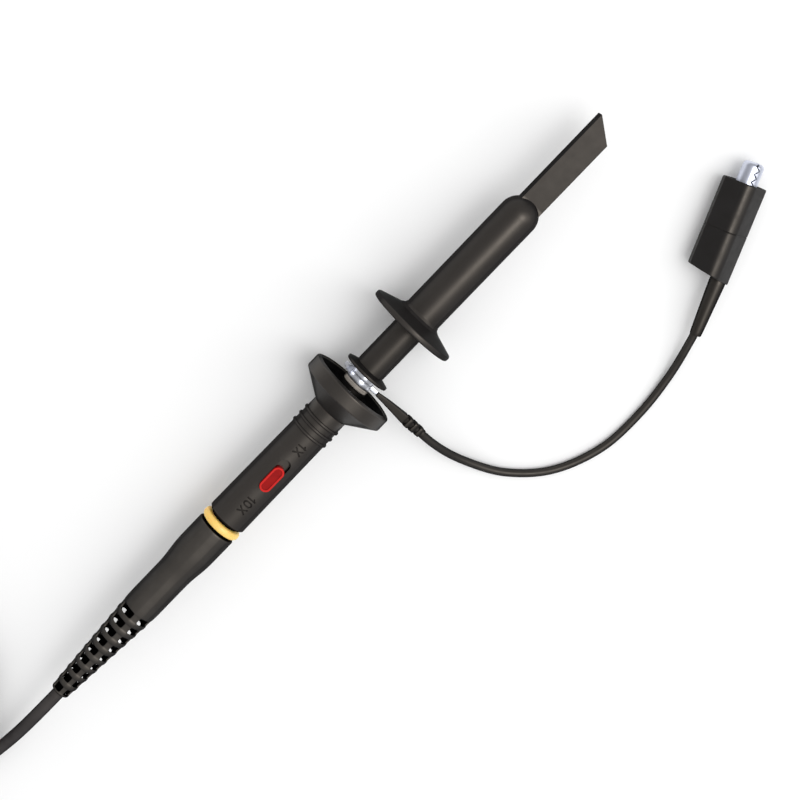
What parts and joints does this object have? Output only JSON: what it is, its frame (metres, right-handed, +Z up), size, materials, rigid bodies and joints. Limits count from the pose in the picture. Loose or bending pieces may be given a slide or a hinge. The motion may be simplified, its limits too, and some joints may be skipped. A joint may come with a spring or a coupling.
{
  "type": "oscilloscope probe",
  "caption": "Passive oscilloscope probe: handle with range switch, pull-off hook tip, ground lead with crocodile clip, coiled coaxial cable, compensation box and bayonet plug.",
  "frame": {"origin": "on the probe's axis, in the front plane of the handle's finger guard", "axes": "+X along the probe axis toward the tip, +Z up from the bench through the range switch, +Y completes the right-handed frame and points away from the ground lead"},
  "size_m": [0.2935, 0.1513, 0.0231],
  "materials": {
    "handle_plastic": "moulded, satin",
    "black_plastic": "moulded, satin",
    "collar_plastic": "moulded, satin",
    "boot_rubber": "moulded, satin",
    "cable_jacket": "extruded, satin",
    "lead_rubber": "moulded, satin",
    "lead_jacket": "extruded, satin",
    "clip_vinyl": "dipped, semi-gloss",
    "red_plastic": "moulded, satin gloss",
    "yellow_ring": "moulded, satin",
    "nickel": "nickel plated, polished",
    "clip_nickel": "nickel plated, pressed",
    "spring_steel": "drawn wire",
    "gold_contact": "gold flashed",
    "copper": "drawn wire",
    "board": "solder mask, satin",
    "resistor": "lacquered",
    "ceramic": "glazed ceramic",
    "ptfe": "moulded, satin"
  },
  "bodies": {
    "handle": {"handle_body": "handle_plastic", "guard_hub": "black_plastic", "barrel_collar": "collar_plastic", "ground_barrel": "nickel", "tip_insulator": "black_plastic", "tip_needle": "gold_contact", "circuit_board": "board", "input_resistor": "resistor", "input_capacitor": "ceramic", "switch_pads": "gold_contact", "marker_ring": "yellow_ring", "cable_boot": "boot_rubber", "crimp_ferrule": "nickel", "cable_start": "cable_jacket", "cable_core": "copper"},
    "range_switch": {"switch_knob": "red_plastic", "switch_slider": "handle_plastic", "switch_wiper": "gold_contact"},
    "hook_tip": {"hook_carrier": "black_plastic", "tip_socket": "gold_contact", "hook_wire": "spring_steel", "hook_spring": "spring_steel"},
    "sheath": {"hook_sheath": "handle_plastic"},
    "ground_lead": {"ground_ring": "nickel", "lead_boot": "lead_rubber", "lead_wire": "lead_jacket", "clip_tail": "lead_rubber", "clip_sleeve": "clip_vinyl", "fixed_jaw": "clip_nickel", "jaw_pin": "spring_steel", "jaw_spring": "spring_steel"},
    "clip_jaw": {"moving_jaw": "clip_nickel"},
    "cable": {"cable_coil": "cable_jacket", "box_base": "handle_plastic", "box_cover": "handle_plastic", "box_board": "board", "box_boot": "boot_rubber", "trimmer_body": "ceramic", "plug_body": "nickel", "plug_snap_ring": "spring_steel", "plug_dielectric": "ptfe", "plug_pin": "gold_contact"},
    "trimmer": {"trimmer_screw": "gold_contact"},
    "plug_collar": {"bayonet_sleeve": "nickel"}
  },
  "joints": [
    {"name": "switch_slide", "type": "slide", "parent": "handle", "child": "range_switch", "axis": [1, 0, 0], "range_m": [0, 0.0022]},
    {"name": "tip_pull", "type": "slide", "parent": "handle", "child": "hook_tip", "axis": [1, 0, 0], "range_m": [0, 0.03]},
    {"name": "sheath_slide", "type": "slide", "parent": "hook_tip", "child": "sheath", "axis": [-1, 0, 0], "range_m": [0, 0.008], "stiffness_N_per_m": 120, "springref_m": -0.004, "deforming": ["hook_spring"]},
    {"name": "ring_turn", "type": "hinge", "parent": "handle", "child": "ground_lead", "pos_m": [0.0029, 0, 0], "axis": [1, 0, 0], "continuous": true},
    {"name": "jaw_open", "type": "hinge", "parent": "ground_lead", "child": "clip_jaw", "pos_m": [0.0951, -0.038, -0.007], "axis": [0.0894, -0.199, 0.9759], "range_deg": [0, 14], "stiffness_Nm_per_rad": 0.02, "springref_deg": -20.05, "deforming": ["jaw_spring"]},
    {"name": "cable_flex", "type": "hinge", "parent": "handle", "child": "cable", "pos_m": [-0.09, 0, 0], "axis": [0, 0, 1], "range_deg": [-45, 45], "stiffness_Nm_per_rad": 0.01, "deforming": ["cable_boot", "cable_start"]},
    {"name": "trimmer_turn", "type": "hinge", "parent": "cable", "child": "trimmer", "pos_m": [-0.098, 0.082, -0.0042], "axis": [0, 0, 1], "continuous": true},
    {"name": "collar_turn", "type": "hinge", "parent": "cable", "child": "plug_collar", "pos_m": [-0.0813, 0.082, -0.0042], "axis": [1, 0, 0], "range_deg": [0, 90]}
  ]
}
